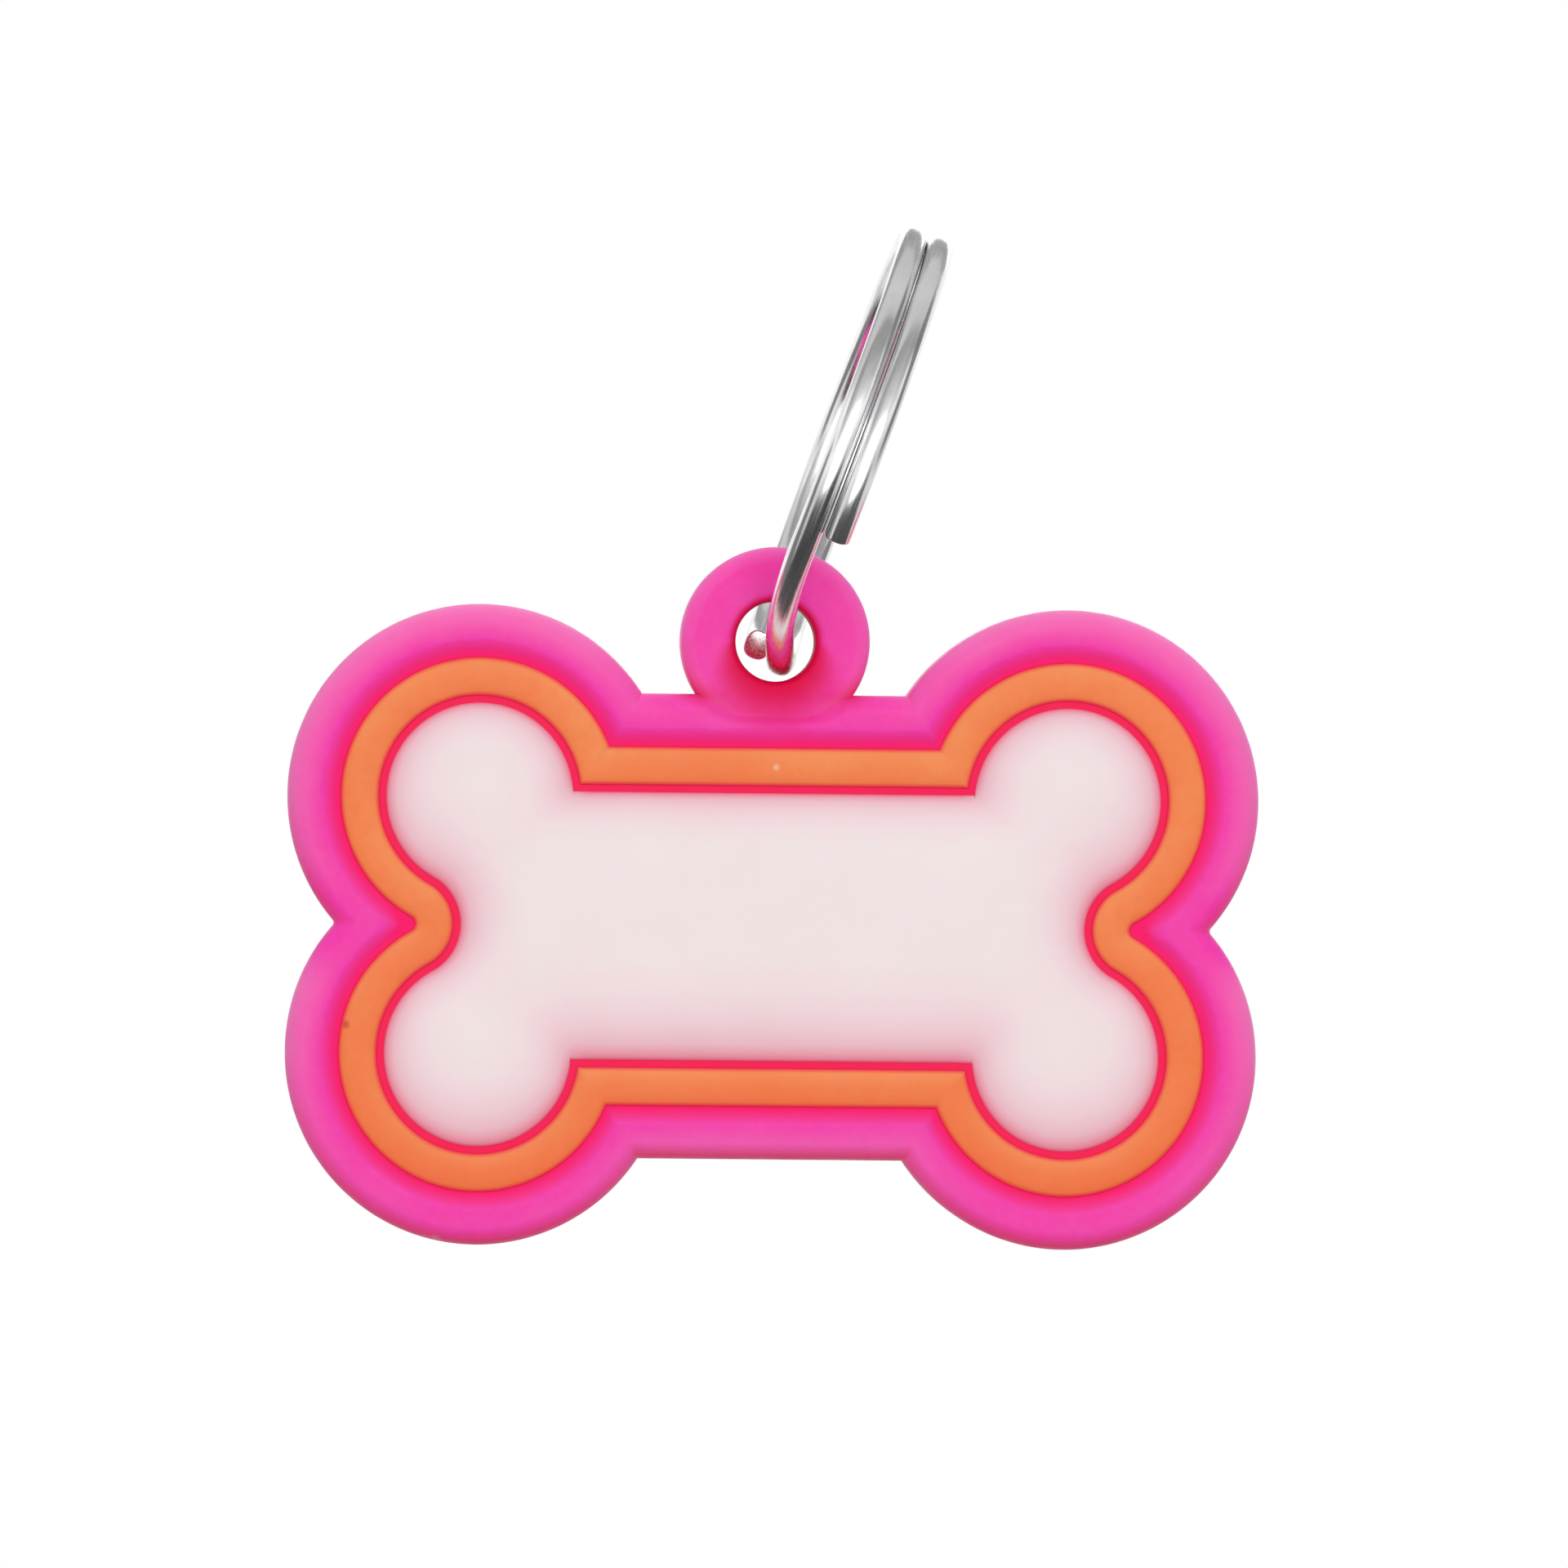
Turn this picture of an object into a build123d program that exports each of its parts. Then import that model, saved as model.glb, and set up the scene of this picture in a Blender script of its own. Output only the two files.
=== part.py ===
from build123d import *
import os
from math import cos, degrees, hypot, radians, sin, sqrt

# Bone-shaped soft tag in three colours, hanging by its eyelet from a two-turn split ring.
# Lengths are millimetres and angles degrees. The face looks towards -Y, +X is its right, +Z is up.
# The origin is where the ring hangs: the highest point of its inner side.

# Bone outline: every layer's edge is this outline at its own lobe radius
lobe_spacing = 25.0
lobe_rise = 10.9
panel_lobe_radius = 3.95
panel_bar_height = 11.34
panel_waist_radius = 2.29

# Layers of the face, from the panel outwards
inner_groove = 0.42
band_width = 1.46
outer_groove = 0.55
rim_width = 1.79

# Heights of the layers
tag_thickness = 3.0
recess_depth = 0.65
band_height = 0.68
panel_edge_height = 0.4
lobe_crown = 0.55
bar_crown = 0.62

# Rounded and bevelled edges of the moulding
rim_round = 0.8
lip_bevel = 0.3
back_bevel = 0.25
band_bevel = 0.38

# Eyelet, a little thinner than the bone on both sides
eyelet_diameter = 8.05
hole_diameter = 3.4
eyelet_stand = 2.25
eyelet_step = 0.2
eyelet_round = 0.55
hole_bevel = 0.3

# Split ring of flat wire: two lanes side by side and one crossing from lane to lane.
# Angles round the ring count from its lowest point, up the front
ring_diameter = 20.0
wire_width = 0.95
wire_depth = 1.3
wire_corner = 0.28
lane_gap = 0.42
ring_tilt = 20.0
crossing_angle = 23.0
crossing_half_angle = 38.0
end_lap_angle = 4.0
ring_play = 0.03
wire_side_share = 0.36

# Overrun of every cut past the surface it opens, and spacing of the points that measure gaps
overrun = 1.0
probe_spacing = 0.2

# Derived sizes of the tag, with levels counted from its middle plane towards the face
lobe_x = lobe_spacing / 2
lobe_z = lobe_rise / 2
bar_rise = panel_bar_height / 2 - panel_lobe_radius
waist_reach = panel_lobe_radius + panel_waist_radius
waist_x = lobe_x + sqrt(waist_reach**2 - lobe_z**2)
band_inner_radius = panel_lobe_radius + inner_groove
band_outer_radius = band_inner_radius + band_width
rim_inner_radius = band_outer_radius + outer_groove
rim_outer_radius = rim_inner_radius + rim_width
rim_middle_radius = rim_inner_radius + rim_width / 2
crest_level = tag_thickness / 2
back_level = -tag_thickness / 2
floor_level = crest_level - recess_depth
panel_edge_level = floor_level + panel_edge_height
eyelet_front = crest_level - eyelet_step
eyelet_back = back_level + eyelet_step
eyelet_z = rim_outer_radius + bar_rise + eyelet_stand
hole_radius = hole_diameter / 2

# Derived sizes of the ring
ring_radius = ring_diameter / 2
wire_radius = ring_radius - wire_depth / 2
hang_radius = ring_radius - wire_depth
lane_offset = (wire_width + lane_gap) / 2
leave_angle = crossing_angle + crossing_half_angle
reach_angle = crossing_angle - crossing_half_angle
full_turn = 360


# Bar edge, lobe and waist of one side at a time. Lobes meet in a point where no rounded waist is left
def bone_face(lobe_radius):
    bar_z = lobe_radius + bar_rise
    corner_x = lobe_x - sqrt(lobe_radius**2 - (bar_z - lobe_z) ** 2)
    waist_radius = waist_reach - lobe_radius
    rounded_waist = waist_radius > lip_bevel
    if rounded_waist:
        turn_share = lobe_radius / waist_reach
        turn_x = lobe_x + (waist_x - lobe_x) * turn_share
        turn_z = lobe_z - lobe_z * turn_share
    else:
        turn_x = lobe_x + sqrt(lobe_radius**2 - lobe_z**2)
        turn_z = 0
    edges = []
    for side in (1, -1):
        corner = (side * corner_x, bar_z)
        lobe_top = (side * lobe_x, lobe_z + lobe_radius)
        turn = (side * turn_x, turn_z)
        edges.append(Line((0, bar_z), corner))
        edges.append(ThreePointArc(corner, lobe_top, turn))
        if rounded_waist:
            waist_tip = (side * (waist_x - waist_radius), 0)
            edges.append(RadiusArc(turn, waist_tip, side * -waist_radius))
    upper = Curve() + edges
    return make_face(upper + mirror(upper, Plane.XZ))


def bone_prism(lobe_radius, from_level, to_level):
    return extrude(Plane.XZ.offset(from_level) * bone_face(lobe_radius), to_level - from_level)


def eyelet_disc(radius, from_level, to_level):
    outline = Pos(0, eyelet_z) * Circle(radius)
    return extrude(Plane.XZ.offset(from_level) * outline, to_level - from_level)


def front_edges(solid):
    return solid.edges().group_by(Axis.Y)[0]


def back_edges(solid):
    return solid.edges().group_by(Axis.Y)[-1]


# Slab with a rounded rim and a bevelled lip round the recess that holds the two inlays
def make_bone():
    bone = bone_prism(rim_outer_radius, back_level, crest_level)
    bone = fillet(front_edges(bone), rim_round)
    bone = chamfer(back_edges(bone), back_bevel)
    bone -= bone_prism(rim_inner_radius, floor_level, crest_level + overrun)
    crest = bone.faces().sort_by(Axis.Y)[0]
    return chamfer(crest.inner_wires()[0].edges(), lip_bevel)


def make_eyelet():
    eyelet = eyelet_disc(eyelet_diameter / 2, eyelet_back, eyelet_front)
    eyelet = fillet(front_edges(eyelet), eyelet_round)
    eyelet = chamfer(back_edges(eyelet), back_bevel)
    eyelet -= eyelet_disc(hole_radius, eyelet_back - overrun, eyelet_front + overrun)
    flats = eyelet.faces().filter_by(Plane.XZ)
    hole_edges = [edge for flat in flats for edge in flat.inner_wires()[0].edges()]
    eyelet = chamfer(hole_edges, hole_bevel)
    return eyelet - bone_prism(rim_middle_radius, eyelet_back - overrun, eyelet_front + overrun)


# The eyelet's face runs on into the rim's outer half as a shallow notch
def make_tag_body():
    notch = eyelet_disc(eyelet_diameter / 2, eyelet_front, crest_level + overrun)
    notch -= bone_prism(rim_middle_radius, eyelet_front - overrun, crest_level + 2 * overrun)
    return make_bone() - notch + make_eyelet()


def make_orange_band():
    top_level = floor_level + band_height
    band = bone_prism(band_outer_radius, floor_level, top_level)
    band -= bone_prism(band_inner_radius, floor_level - overrun, top_level + overrun)
    return chamfer(front_edges(band), band_bevel)


# Radius of the arc that rises by a crown over half a span
def crown_radius(half_span, crown):
    return (half_span**2 + crown**2) / (2 * crown)


def lobe_cap(x, z):
    radius = crown_radius(panel_lobe_radius, lobe_crown)
    return Pos(x, radius - lobe_crown - panel_edge_level, z) * Sphere(radius)


# Arched across the bar, and arched again along it so that it comes down to the edge at both waists
def bar_barrel():
    half_height = panel_bar_height / 2
    top_level = panel_edge_level + bar_crown
    base_level = floor_level - overrun
    upper_edge = (half_height, panel_edge_level)
    lower_edge = (-half_height, panel_edge_level)
    arch = ThreePointArc(upper_edge, (0, top_level), lower_edge)
    base = Polyline(lower_edge, (-half_height, base_level), (half_height, base_level), upper_edge)
    section = Plane((0, 0, 0), x_dir=(0, 0, 1), z_dir=(1, 0, 0)) * make_face(arch + base)
    radius = crown_radius(waist_x - panel_waist_radius, bar_crown)
    axis = Axis((0, radius - top_level, 0), (0, 0, 1))
    half_sweep = degrees(waist_x / radius)
    return revolve(section, axis, 2 * half_sweep).rotate(axis, -half_sweep)


def make_white_panel():
    pillows = bar_barrel()
    for x in (lobe_x, -lobe_x):
        for z in (lobe_z, -lobe_z):
            pillows += lobe_cap(x, z)
    clear_level = panel_edge_level + lobe_crown + bar_crown
    return pillows & bone_prism(panel_lobe_radius, floor_level, clear_level)


def ring_point(axial, radius, angle):
    return Vector(axial, -radius * sin(radians(angle)), -radius * cos(radians(angle)))


def lane_arcs(axial, from_angle, to_angle):
    arc_count = 4
    step = (to_angle - from_angle) / arc_count
    arcs = []
    for index in range(arc_count):
        angles = [from_angle + step * (index + along) for along in (0, 0.5, 1)]
        arcs.append(ThreePointArc(*[ring_point(axial, wire_radius, angle) for angle in angles]))
    return arcs


# The crossing is two arcs that meet halfway, square to the radius there and tangent to both lanes
def crossing_arcs():
    heading = Vector(0, cos(radians(leave_angle)), -sin(radians(leave_angle)))
    halfway = ring_point(0, hypot(wire_radius, lane_offset), crossing_angle)
    leaving = TangentArc(ring_point(-lane_offset, wire_radius, leave_angle), halfway, tangent=heading)
    reaching = TangentArc(halfway, ring_point(lane_offset, wire_radius, reach_angle), tangent=leaving % 1)
    return [leaving, reaching]


def wire_path():
    left_lane = lane_arcs(-lane_offset, reach_angle - end_lap_angle + full_turn, leave_angle)
    right_lane = lane_arcs(lane_offset, reach_angle, leave_angle + end_lap_angle - full_turn)
    arcs = left_lane + crossing_arcs() + right_lane
    return Wire([edge for arc in arcs for edge in arc.edges()])


# Least clear distance between turns, measured on points of the wire's middle line
def print_least_gap(path):
    count = round(path.length / probe_spacing)
    points = [path @ (index / count) for index in range(count + 1)]
    half_turn = round(wire_radius * radians(full_turn / 2) / probe_spacing)
    gaps = []
    for index, point in enumerate(points):
        for other in points[index + half_turn:]:
            apart = other - point
            beside = max(abs(apart.X) - wire_width, 0)
            gaps.append(hypot(beside, apart.Y, apart.Z))
    print(f"split ring: least gap between turns {min(gaps):.3f} mm, wire length {path.length:.1f} mm")


# The guide runs beside the wire, so that its flat sides stay square to the ring's axis
def make_split_ring():
    path = wire_path()
    print_least_gap(path)
    outline = Rectangle(wire_width, wire_depth)
    outline = chamfer(outline.vertices(), wire_corner)
    section = Plane(path @ 0, x_dir=(1, 0, 0), z_dir=path % 0) * outline
    guide = path.moved(Pos(ring_diameter, 0, 0))
    return sweep(section, path, binormal=guide)


def place_ring(solid):
    return Rot(0, ring_tilt, 0) * Pos(0, 0, -hang_radius) * solid


# The hole lies round the lowest stretch of the crossing, with the wire low in it and to its right
def hole_centre():
    reaching = crossing_arcs()[1]
    lowest_share = crossing_angle / crossing_half_angle
    side = hole_radius * wire_side_share
    drop = sqrt((hole_radius - ring_play) ** 2 - (wire_width / 2 + side) ** 2)
    return place_ring(Pos((reaching @ lowest_share).X - side, 0, drop - ring_radius)).position


def place_tag(solid):
    return Pos(hole_centre()) * Pos(0, 0, -eyelet_z) * solid


pieces = {
    "tag_body": place_tag(make_tag_body()),
    "orange_band": place_tag(make_orange_band()),
    "white_panel": place_tag(make_white_panel()),
    "split_ring": place_ring(make_split_ring()),
}
hinge = hole_centre()
print(f"tag swings about Y through x {hinge.X:.4f}, z {hinge.Z:.4f} mm")
os.makedirs("parts", exist_ok=True)
for name, solid in pieces.items():
    export_step(solid, f"parts/{name}.step")
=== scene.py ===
from math import cos, pi, radians, sin, sqrt
import bmesh
import bpy
import numpy as np
from mathutils import Matrix, Vector


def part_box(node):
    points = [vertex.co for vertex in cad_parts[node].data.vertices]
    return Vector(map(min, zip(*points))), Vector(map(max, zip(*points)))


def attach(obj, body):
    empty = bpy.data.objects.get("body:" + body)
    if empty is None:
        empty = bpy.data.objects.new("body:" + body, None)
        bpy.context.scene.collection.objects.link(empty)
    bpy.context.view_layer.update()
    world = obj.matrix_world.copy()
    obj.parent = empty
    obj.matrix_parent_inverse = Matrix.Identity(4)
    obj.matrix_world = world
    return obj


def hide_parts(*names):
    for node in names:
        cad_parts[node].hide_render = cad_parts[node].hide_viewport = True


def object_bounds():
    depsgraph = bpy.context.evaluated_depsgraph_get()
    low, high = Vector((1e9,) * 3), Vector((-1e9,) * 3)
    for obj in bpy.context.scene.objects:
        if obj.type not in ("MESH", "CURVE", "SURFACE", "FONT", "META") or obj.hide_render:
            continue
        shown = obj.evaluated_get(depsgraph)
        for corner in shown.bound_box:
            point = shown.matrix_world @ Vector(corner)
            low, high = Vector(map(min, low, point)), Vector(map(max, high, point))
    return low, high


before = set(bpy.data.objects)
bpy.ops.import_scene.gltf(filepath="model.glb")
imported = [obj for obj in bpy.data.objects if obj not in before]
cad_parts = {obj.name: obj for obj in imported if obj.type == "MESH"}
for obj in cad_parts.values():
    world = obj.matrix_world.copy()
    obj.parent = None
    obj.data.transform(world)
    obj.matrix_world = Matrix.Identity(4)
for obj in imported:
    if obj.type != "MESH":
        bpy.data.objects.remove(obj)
cadLow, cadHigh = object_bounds()
print("frame loaded:", sorted(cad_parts))

mm = 0.001  # shapes are worked out in millimetres and put into the mesh in metres
weldWithin = 0.0005  # points of a skin closer than this, in millimetres, become one
white, black = (1, 1, 1, 1), (0, 0, 0, 1)

# the outline that all three colours of the bone share
boneShape = {
    "lobeX": 12.5,
    "lobeZ": 5.45,
    "barRise": 1.72,
    "waistReach": 6.24,
    "waistLeast": ([5.95, 6.0, 6.7, 7.6], [0.2, 0.5, 0.5, 0.2]),  # least round of the waist by lobe radius
    "barPoints": 70,
    "lobePoints": 120,
    "waistPoints": 26,
    "spineShare": 0.94,  # the bar's stretch of the spine, as a share of the bar's half length
    "spineTurn": 10.3,
    "spineEnd": 10.8,
}

tagLow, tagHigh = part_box("tag_body")
boneX = (tagLow.x + tagHigh.x) / 2 / mm


def srgb(red, green, blue):  # display colour 0-255 to the linear colour a shader wants
    value = np.array([red, green, blue]) / 255
    linear = np.where(value <= 0.04045, value / 12.92, ((value + 0.055) / 1.055) ** 2.4)
    return (*[float(v) for v in linear], 1.0)


# a quarter of the loop is repeated by its mirror images, right, down, left and back up
def roundFour(quarter):
    down = quarter[:, ::-1] * [1, -1]
    left = quarter * [-1, -1]
    up = quarter[:, ::-1] * [-1, 1]
    return np.concatenate([part[:, :-1] for part in (quarter, down, left, up)], axis=1)


# bone outlines, one row per lobe radius: a level bar edge barRise above the radius, an arc of that radius
# about the lobe centre, and an arc that touches both lobes at the waist
def boneOutline(lobeRadius):
    shape = boneShape
    radius = np.asarray(lobeRadius, float).reshape(-1, 1)
    barZ = radius + shape["barRise"]
    cornerX = shape["lobeX"] - np.sqrt(radius**2 - (barZ - shape["lobeZ"]) ** 2)
    waistRadius = np.maximum(shape["waistReach"] - radius, np.interp(radius, *shape["waistLeast"]))
    waistX = shape["lobeX"] + np.sqrt((radius + waistRadius) ** 2 - shape["lobeZ"] ** 2)
    along = np.linspace(0, 1, shape["barPoints"], endpoint=False)
    bar = np.stack([cornerX * along, barZ + 0 * along], axis=2)
    along = np.linspace(0, 1, shape["lobePoints"], endpoint=False)
    fromAngle = np.arctan2(barZ - shape["lobeZ"], cornerX - shape["lobeX"])
    toAngle = np.arctan2(-shape["lobeZ"], waistX - shape["lobeX"])
    angle = fromAngle + (toAngle - fromAngle) * along
    lobeX, lobeZ = shape["lobeX"] + radius * np.cos(angle), shape["lobeZ"] + radius * np.sin(angle)
    lobe = np.stack([lobeX, lobeZ], axis=2)
    along = np.linspace(0, 1, shape["waistPoints"])
    angle = toAngle + pi + (-toAngle) * along
    waist = np.stack([waistX + waistRadius * np.cos(angle), waistRadius * np.sin(angle)], axis=2)
    return roundFour(np.concatenate([bar, lobe, waist], axis=1))


# the line along the bar's middle that a filled bone closes on, one point for each point of its outline
def boneSpine(lobeRadius):
    shape = boneShape
    barZ = lobeRadius + shape["barRise"]
    cornerX = shape["lobeX"] - sqrt(lobeRadius**2 - (barZ - shape["lobeZ"]) ** 2)
    startX = shape["spineShare"] * cornerX
    bar = np.linspace(0, startX, shape["barPoints"], endpoint=False)
    lobe = np.linspace(startX, shape["spineTurn"], shape["lobePoints"], endpoint=False)
    waist = np.linspace(shape["spineTurn"], shape["spineEnd"], shape["waistPoints"])
    x = np.concatenate([bar, lobe, waist])
    return roundFour(np.stack([x, 0 * x], axis=1)[None])


# rows from an outline in to the spine, straight along each ray: share 0 is the outline and 1 the spine
def fillRows(lobeRadius, shares):
    edge, spine = boneOutline(lobeRadius), boneSpine(lobeRadius)
    share = np.asarray(shares, float).reshape(-1, 1, 1)
    return edge * (1 - share) + spine * share


def softMin(a, b, blend):  # the smaller of two, rounded where they are within blend of each other
    mix = np.clip(0.5 + 0.5 * (b - a) / blend, 0, 1)
    return b * (1 - mix) + a * mix - blend * mix * (1 - mix)


# the lobe radius whose outline goes through a point: beyond the line from lobe to waist it is the distance to
# the lobe centre, inside it the lesser of that and the height over the bar's core, held up by the waist's arc
def outlineRadius(x, z, blend=1e-6):
    shape = boneShape
    ax, az = np.abs(x), np.abs(z)
    waistX = shape["lobeX"] + sqrt(shape["waistReach"] ** 2 - shape["lobeZ"] ** 2)
    lobe = np.hypot(ax - shape["lobeX"], az - shape["lobeZ"])
    waist = shape["waistReach"] - np.hypot(ax - waistX, az)
    inner = np.maximum(softMin(lobe, az - shape["barRise"], blend), waist)
    side = (waistX - shape["lobeX"]) * (az - shape["lobeZ"]) + shape["lobeZ"] * (ax - shape["lobeX"])
    return np.where(side > 0, lobe, inner)


# points inside a straight stretch of a profile, without its ends
def straightOn(start, end, count):
    return np.linspace(start, end, count + 2)[1:-1]


# points of a quarter or half round in a profile, as lobe radius and level
def roundOff(centre, radius, fromDegrees, toDegrees, count):
    angle = np.radians(np.linspace(fromDegrees, toDegrees, count))
    return np.stack([centre[0] + radius * np.cos(angle), centre[1] + radius * np.sin(angle)], axis=1)


# how far a point's outline faces up, from 1 at the top to -1 at the bottom: the slope of the radius upwards
def facingUp(x, z, blend=1e-6, step=0.05):
    slope = (outlineRadius(x, z + step, blend) - outlineRadius(x, z - step, blend)) / (2 * step)
    return np.clip(slope, -1, 1)


def tagPoints(flat, level):  # flat x, z on the bone and a level towards the face, to metres in the frame
    level = np.broadcast_to(level, flat.shape[:-1])
    return np.stack([flat[..., 0] + boneX, -level, flat[..., 1] + boneZ], axis=-1) * mm


# a grid of points, rows by columns, as a closed skin: quads between neighbours, ends of columns joined, and
# rows joined too for a ring. Points that fall together, as along a spine, become one
def gridPiece(name, points, ringRows=False):
    rows, columns = points.shape[:2]
    index = np.arange(rows * columns).reshape(rows, columns)
    below = np.roll(index, -1, axis=0) if ringRows else index[1:]
    above = index if ringRows else index[:-1]
    quads = np.stack([above, np.roll(above, -1, axis=1), np.roll(below, -1, axis=1), below], axis=-1)
    mesh = bpy.data.meshes.new(name)
    mesh.from_pydata(points.reshape(-1, 3), [], quads.reshape(-1, 4).tolist())
    work = bmesh.new()
    work.from_mesh(mesh)
    bmesh.ops.remove_doubles(work, verts=work.verts, dist=weldWithin * mm)
    bmesh.ops.recalc_face_normals(work, faces=work.faces)
    work.to_mesh(mesh)
    work.free()
    piece = bpy.data.objects.new(name, mesh)
    bpy.context.scene.collection.objects.link(piece)
    return piece


def smoothTo(piece, degrees):  # smooth shading, with edges sharper than this kept crisp
    piece.data.shade_smooth()
    piece.data.set_sharp_from_angle(angle=radians(degrees))


def meshPoints(piece):
    points = np.empty(len(piece.data.vertices) * 3, np.float32)
    piece.data.vertices.foreach_get("co", points)
    return points.reshape(-1, 3).astype(float) / mm


def addAttribute(piece, name, values):
    layer = piece.data.attributes.new(name, "FLOAT", "POINT")
    layer.data.foreach_set("value", np.ascontiguousarray(values, np.float32))


# lobe radii across the section, and levels counted from the middle plane towards the face
bodyShape = {
    "lipFrom": 5.98,
    "lipTo": 6.78,
    "rimOuter": 8.166,
    "crest": 1.5,
    "floor": 1.29,
    "back": -1.5,
    "floorStrip": 0.3,
    "rimRound": 0.8,
    "backRound": 0.25,
    "lipPoints": 15,
    "crestPoints": 5,
    "rimPoints": 17,
    "wallPoints": 5,
    "backPoints": 7,
    "fillRows": 8,
    "eyeletRise": 12.14,
    "eyeletRadius": 4.025,
    "eyeletFront": 1.3,
    "eyeletRound": 0.55,
    "holeRadius": 1.7,
    "holeRound": 0.3,
    "holePoints": 9,
    "facePoints": 12,
    "shoulderPoints": 13,
    "eyeletColumns": 180,
    "notchDepth": 0.24,
    "notchFrom": 6.8,
    "notchTo": 7.35,
    "notchSoft": 0.7,
    "crease": 32,
}

boneZ = tagLow.z / mm + boneShape["lobeZ"] + bodyShape["rimOuter"]

# where the pink's painted sheen, shade and red shade change, in millimetres and shares
paintedLightPlaces = {
    "sinkFull": 5.91,
    "sinkNone": 6.72,
    "sinkWaist": {"place": 15.7, "spread": 0.5, "drop": 0.35},  # the groove's painted red shade reaches further out at the waist
    "grooveInner": 4.2,
    "grooveOuter": 6.1,
    "sheenReach": 1.4,
    "sheenReachEyelet": 0.7,
    "sheenPart": 4.2,
    "sheenFull": 9.0,
    "sheenLobe": ([-1, -0.4, 0, 1], [0.15, 0.6, 0.95, 1]),  # share of the painted sheen by how far the edge faces up
    "sheenBar": ([-1, 1], [0.75, 0.1]),
    "sheenWaist": (0.6, 3.0),
    "sheenEyelet": 0.6,
    "edgeShadeReach": 0.75,
    "redShadeReach": 0.5,
    "redShadeBelow": 2.6,
    "valleyReach": 1.3,
    "valleyShare": 0.5,
    "leastReach": 0.1,
}


def easeStep(low, high, value):  # 0 below low, 1 above high, an even S between
    t = np.clip((value - low) / (high - low), 0, 1)
    return t * t * (3 - 2 * t)


# the bone's section, carried along every outline at once: recess floor, lip as an even S, crest, rim round,
# wall and back round. Its two ends are filled in to the spine. Under the eyelet the crest sinks by the notch
def makeBone():
    s = bodyShape
    roundFrom, roundLevel = s["rimOuter"] - s["rimRound"], s["crest"] - s["rimRound"]
    backFrom, backLevel = s["rimOuter"] - s["backRound"], s["back"] + s["backRound"]
    lipLevel = s["floor"] + (s["crest"] - s["floor"]) * easeStep(0, 1, np.linspace(0, 1, s["lipPoints"]))
    profile = np.concatenate([
        [[s["lipFrom"] - s["floorStrip"], s["floor"]]],
        np.stack([np.linspace(s["lipFrom"], s["lipTo"], s["lipPoints"]), lipLevel], axis=1),
        straightOn((s["lipTo"], s["crest"]), (roundFrom, s["crest"]), s["crestPoints"]),
        roundOff((roundFrom, roundLevel), s["rimRound"], 90, 0, s["rimPoints"]),
        straightOn((s["rimOuter"], roundLevel), (s["rimOuter"], backLevel), s["wallPoints"]),
        roundOff((backFrom, backLevel), s["backRound"], 0, -90, s["backPoints"]),
    ])
    flat = boneOutline(profile[:, 0])
    level = np.repeat(profile[:, 1:2], flat.shape[1], axis=1)
    fromEyelet = np.hypot(flat[..., 0], flat[..., 1] - s["eyeletRise"]) - s["eyeletRadius"]
    sink = 1 - easeStep(-s["notchSoft"], s["notchSoft"] / 2, fromEyelet)
    sink *= easeStep(s["notchFrom"], s["notchTo"], profile[:, :1]) * (level > roundLevel)
    level = np.minimum(level, s["crest"] - s["notchDepth"] * sink)
    shares = np.linspace(1, 0, s["fillRows"], endpoint=False)
    front = tagPoints(fillRows(profile[0, 0], shares), s["floor"])
    back = tagPoints(fillRows(profile[-1, 0], shares[::-1]), s["back"])
    return gridPiece("bone", np.concatenate([front, tagPoints(flat, level), back]))


# a rounded-off section turned once about the hole's axis
def makeEyelet():
    s = bodyShape
    front, back = s["eyeletFront"], -s["eyeletFront"]
    holeEdge, shoulder = s["holeRadius"] + s["holeRound"], s["eyeletRadius"] - s["eyeletRound"]
    backFrom, backLevel = s["eyeletRadius"] - s["backRound"], back + s["backRound"]
    section = np.concatenate([
        roundOff((holeEdge, front - s["holeRound"]), s["holeRound"], 180, 90, s["holePoints"]),
        straightOn((holeEdge, front), (shoulder, front), s["facePoints"]),
        roundOff((shoulder, front - s["eyeletRound"]), s["eyeletRound"], 90, 0, s["shoulderPoints"]),
        roundOff((backFrom, backLevel), s["backRound"], 0, -90, s["backPoints"]),
        roundOff((holeEdge, back + s["holeRound"]), s["holeRound"], 270, 180, s["holePoints"]),
    ])
    angle = np.linspace(0, 2 * pi, s["eyeletColumns"], endpoint=False)
    flat = section[:, :1, None] * np.stack([np.sin(angle), np.cos(angle)], axis=1) + [0, s["eyeletRise"]]
    return gridPiece("eyelet", tagPoints(flat, section[:, 1:2]), ringRows=True)
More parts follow.
